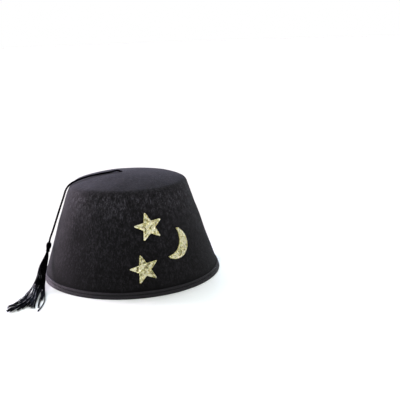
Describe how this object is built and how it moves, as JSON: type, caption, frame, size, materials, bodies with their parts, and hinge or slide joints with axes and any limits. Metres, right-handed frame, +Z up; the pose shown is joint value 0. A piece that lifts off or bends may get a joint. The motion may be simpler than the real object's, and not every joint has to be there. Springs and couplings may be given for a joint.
{
  "type": "fez hat",
  "caption": "Tall tapered felt hat with a rounded edge and low domed top, bound rim, star and crescent appliques, and a tassel on a cord from the top.",
  "frame": {"origin": "centre of the rim's lower edge, on the surface that the hat stands on", "axes": "+Z up, along the axis of the crown; the front with the appliques faces -Y; the tassel hangs on the wearer's right, toward -X"},
  "size_m": [0.247, 0.1922, 0.1116],
  "materials": {
    "black_felt": "matt pressed wool felt, black with a faint purple-brown tint",
    "binding_tape": "dark grey woven tape, stitched along its edge",
    "gold_glitter": "gold glitter cloth, coarse and sparkling",
    "black_rayon": "black twisted rayon with a soft gloss"
  },
  "bodies": {
    "root": {"felt_body": "black_felt", "rim_binding": "binding_tape", "star_upper": "gold_glitter", "star_lower": "gold_glitter", "crescent_moon": "gold_glitter", "cord": "black_rayon", "cord_stop_knot": "black_rayon", "tassel": "black_rayon"}
  },
  "joints": []
}
